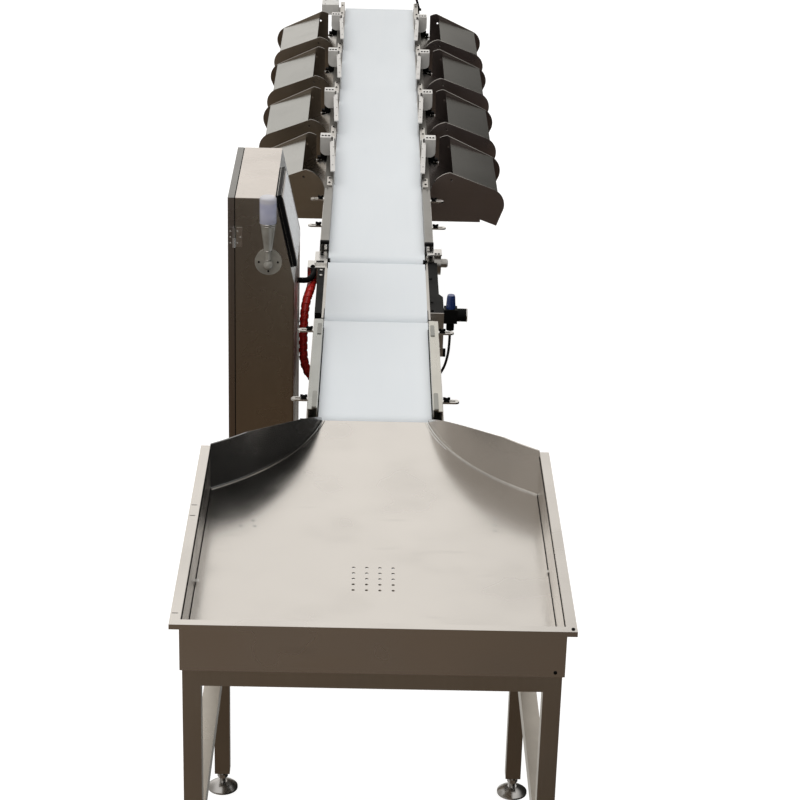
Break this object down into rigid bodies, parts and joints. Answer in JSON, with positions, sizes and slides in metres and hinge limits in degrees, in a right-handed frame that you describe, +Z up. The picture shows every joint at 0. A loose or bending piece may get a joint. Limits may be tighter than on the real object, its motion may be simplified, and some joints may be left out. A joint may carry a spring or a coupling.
{
  "type": "weight grading machine",
  "caption": "Weighing and sorting line: feeding table, infeed belt, weighing belt and sorting belt with swinging flaps over side chutes, with a control cabinet.",
  "frame": {"origin": "on the floor, at the middle of the machine's length, under the belts' centreline", "axes": "+Y along the product flow from the feeding table, +X to the right of the flow, +Z up"},
  "size_m": [0.9066, 6.14, 1.316],
  "materials": {
    "tray_steel": "brushed stainless sheet with dents and stains",
    "tube_steel": "satin stainless square tube",
    "white_belt": "smooth white belt",
    "roller_steel": "turned steel",
    "frame_steel": "brushed stainless sheet",
    "bright_steel": "bright brushed stainless",
    "cast_grey": "satin light grey castings",
    "flap_steel": "bright brushed stainless",
    "chute_steel": "brushed stainless sheet",
    "cabinet_steel": "brushed stainless sheet",
    "screen_black": "satin black",
    "screen_face": "glossy light panel",
    "lamp_lens": "milky translucent",
    "black_plastic": "satin black",
    "blue_plastic": "moulded blue",
    "light_paint": "satin light grey",
    "red_wrap": "spiral wrapped",
    "black_tube": "smooth black tube"
  },
  "bodies": {
    "base": {"feed_tray": "tray_steel", "guide_plates": "tray_steel", "table_legs": "tube_steel", "table_cross_rails": "tube_steel", "table_side_rails": "tube_steel", "conveyor_legs": "tube_steel", "conveyor_cross_rails": "tube_steel", "conveyor_side_rails": "tube_steel", "cabinet_links": "tube_steel", "cabinet_legs": "tube_steel", "infeed_belt": "white_belt", "weigh_belt": "white_belt", "sort_belt": "white_belt", "end_rollers": "roller_steel", "levelling_feet": "roller_steel", "cabinet_hinges": "roller_steel", "belt_beds": "frame_steel", "infeed_side_frames": "frame_steel", "sort_side_frames": "frame_steel", "weigh_side_plates": "frame_steel", "weigh_base": "frame_steel", "belt_edge_strips": "frame_steel", "chute_end_panels": "frame_steel", "drive_bracket": "frame_steel", "infeed_guide_rails": "bright_steel", "lead_in_guide_rails": "bright_steel", "guide_rail_arms": "bright_steel", "hose_holder": "bright_steel", "pulley_housing": "bright_steel", "beacon_mount": "bright_steel", "pivot_brackets": "cast_grey", "chute_side_plates": "chute_steel", "chute_slides": "chute_steel", "chute_covers": "chute_steel", "cabinet_body": "cabinet_steel", "screen_housing": "screen_black", "screen_glass": "screen_face", "beacon_lens": "lamp_lens", "drive_guard": "black_plastic", "weigh_motor": "black_plastic", "air_regulator": "black_plastic", "air_gauge": "black_plastic", "end_post": "black_plastic", "flap_actuators": "black_plastic", "drive_knob": "black_plastic", "conduit_elbow": "black_plastic", "air_knob": "blue_plastic", "end_drive_box": "light_paint", "red_hose": "red_wrap", "air_tube": "black_tube"},
    "left_flap_1": {"left_flap_1": "flap_steel"},
    "left_flap_2": {"left_flap_2": "flap_steel"},
    "left_flap_3": {"left_flap_3": "flap_steel"},
    "left_flap_4": {"left_flap_4": "flap_steel"},
    "right_flap_1": {"right_flap_1": "flap_steel"},
    "right_flap_2": {"right_flap_2": "flap_steel"},
    "right_flap_3": {"right_flap_3": "flap_steel"},
    "right_flap_4": {"right_flap_4": "flap_steel"},
    "cabinet_door": {"cabinet_door": "cabinet_steel"}
  },
  "joints": [
    {"name": "left_flap_1_swing", "type": "hinge", "parent": "base", "child": "left_flap_1", "pos_m": [-0.195, 0.77, 0.94], "axis": [0, 0, 1], "range_deg": [0, 45]},
    {"name": "left_flap_2_swing", "type": "hinge", "parent": "base", "child": "left_flap_2", "pos_m": [-0.195, 1.404, 0.94], "axis": [0, 0, 1], "range_deg": [0, 45]},
    {"name": "left_flap_3_swing", "type": "hinge", "parent": "base", "child": "left_flap_3", "pos_m": [-0.195, 2.038, 0.94], "axis": [0, 0, 1], "range_deg": [0, 45]},
    {"name": "left_flap_4_swing", "type": "hinge", "parent": "base", "child": "left_flap_4", "pos_m": [-0.195, 2.672, 0.94], "axis": [0, 0, 1], "range_deg": [0, 45]},
    {"name": "right_flap_1_swing", "type": "hinge", "parent": "base", "child": "right_flap_1", "pos_m": [0.195, 0.77, 0.94], "axis": [0, 0, 1], "range_deg": [-45, 0]},
    {"name": "right_flap_2_swing", "type": "hinge", "parent": "base", "child": "right_flap_2", "pos_m": [0.195, 1.404, 0.94], "axis": [0, 0, 1], "range_deg": [-45, 0]},
    {"name": "right_flap_3_swing", "type": "hinge", "parent": "base", "child": "right_flap_3", "pos_m": [0.195, 2.038, 0.94], "axis": [0, 0, 1], "range_deg": [-45, 0]},
    {"name": "right_flap_4_swing", "type": "hinge", "parent": "base", "child": "right_flap_4", "pos_m": [0.195, 2.672, 0.94], "axis": [0, 0, 1], "range_deg": [-45, 0]},
    {"name": "cabinet_door_hinge", "type": "hinge", "parent": "base", "child": "cabinet_door", "pos_m": [-0.42, -1.016, 0.725], "axis": [0, 0, 1], "range_deg": [0, 110]}
  ]
}
